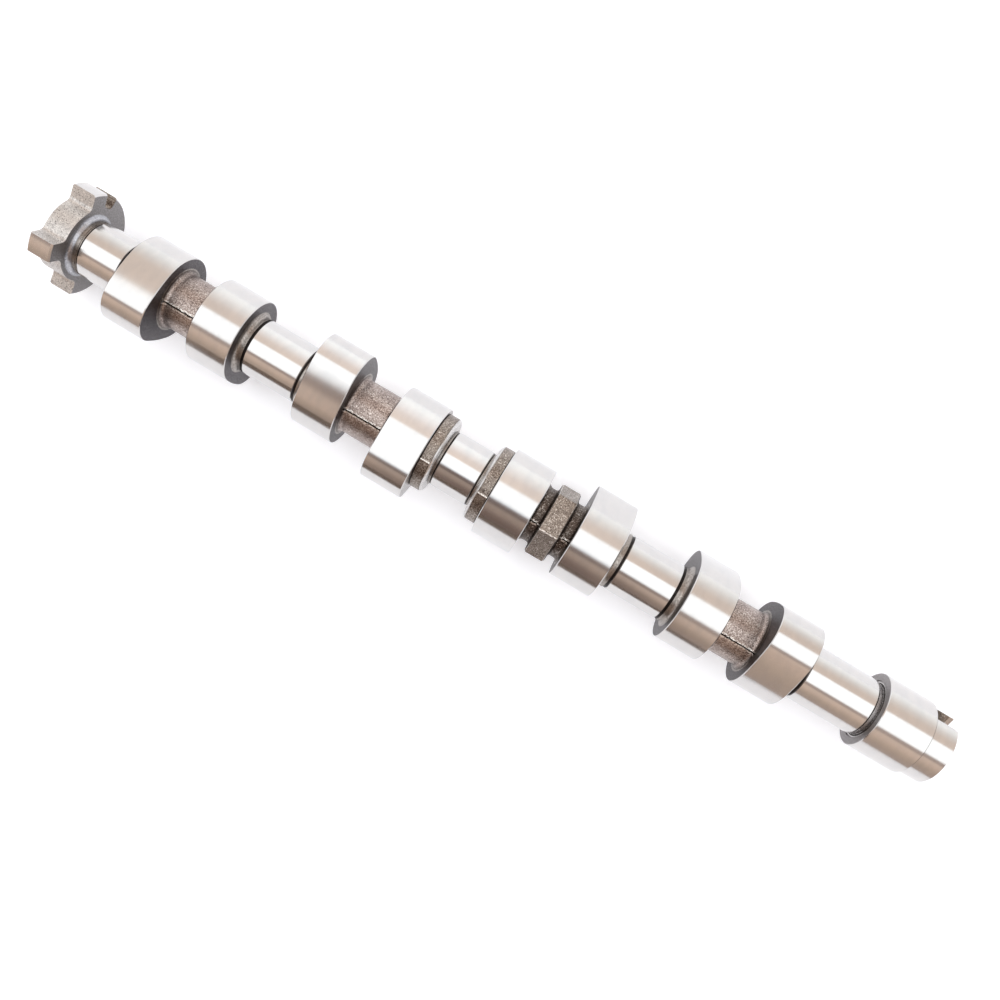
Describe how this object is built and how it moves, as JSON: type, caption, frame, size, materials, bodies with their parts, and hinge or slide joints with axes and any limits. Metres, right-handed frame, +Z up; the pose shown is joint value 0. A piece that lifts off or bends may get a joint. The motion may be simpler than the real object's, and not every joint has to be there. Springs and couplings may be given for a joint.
{
  "type": "camshaft",
  "caption": "Cast overhead camshaft with ground cam lobes and journals, a keyed nose for the sprocket, a spanner hexagon and a trigger wheel.",
  "frame": {"origin": "on the shaft's axis, in the nose's end face, where the sprocket is bolted on", "axes": "+X along the axis from the nose to the trigger wheel, +Z up as the shaft lies on a level surface, +Y to complete the frame"},
  "size_m": [0.4316, 0.0484, 0.0484],
  "materials": {
    "camshaft": "ground on lobes and journals, rough as cast between them"
  },
  "bodies": {
    "root": {"camshaft": "camshaft"}
  },
  "joints": []
}
